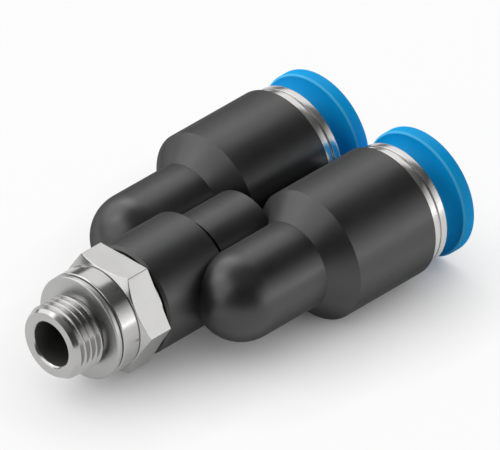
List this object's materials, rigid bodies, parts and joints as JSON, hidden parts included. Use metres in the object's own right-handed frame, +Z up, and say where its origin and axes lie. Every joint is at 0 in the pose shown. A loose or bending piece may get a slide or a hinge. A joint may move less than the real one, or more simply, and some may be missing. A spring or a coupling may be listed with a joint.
{
  "type": "push-in y connector with threaded stud",
  "caption": "Y-shaped push-in tube fitting: a swivelling threaded metal stud with hex feeds side-by-side tube sockets with collars and flared release rings.",
  "frame": {"origin": "on the thread axis, in the face of the washer that seats on the port", "axes": "+X from the thread towards the tube sockets, +Z up and square to the plane of both sockets, +Y to the left socket"},
  "size_m": [0.0564, 0.0356, 0.0174],
  "materials": {
    "nickel_plate": "bright nickel plate",
    "washer_metal": "satin nickel plate",
    "collar_metal": "bright nickel plate",
    "spring_steel": "bright",
    "black_plastic": "satin",
    "blue_plastic": "satin",
    "natural_plastic": "plain",
    "black_rubber": "matt"
  },
  "bodies": {
    "stud": {"threaded_stud": "nickel_plate", "sealing_washer": "washer_metal", "washer_seal": "black_rubber", "stud_o_ring": "black_rubber"},
    "housing": {"y_body": "black_plastic", "left_tube_seal": "black_rubber", "left_support_ring": "natural_plastic", "left_grip_ring": "spring_steel", "left_retaining_collar": "collar_metal", "right_tube_seal": "black_rubber", "right_support_ring": "natural_plastic", "right_grip_ring": "spring_steel", "right_retaining_collar": "collar_metal"},
    "left_release": {"left_release_ring": "blue_plastic"},
    "right_release": {"right_release_ring": "blue_plastic"}
  },
  "joints": [
    {"name": "stud_swivel", "type": "hinge", "parent": "stud", "child": "housing", "pos_m": [0.012, 0, 0], "axis": [1, 0, 0], "continuous": true},
    {"name": "left_release_slide", "type": "slide", "parent": "housing", "child": "left_release", "axis": [-1, 0, 0], "range_m": [0, 0.0012], "stiffness_N_per_m": 1000, "springref_m": -0.0003},
    {"name": "right_release_slide", "type": "slide", "parent": "housing", "child": "right_release", "axis": [-1, 0, 0], "range_m": [0, 0.0012], "stiffness_N_per_m": 1000, "springref_m": -0.0003}
  ]
}
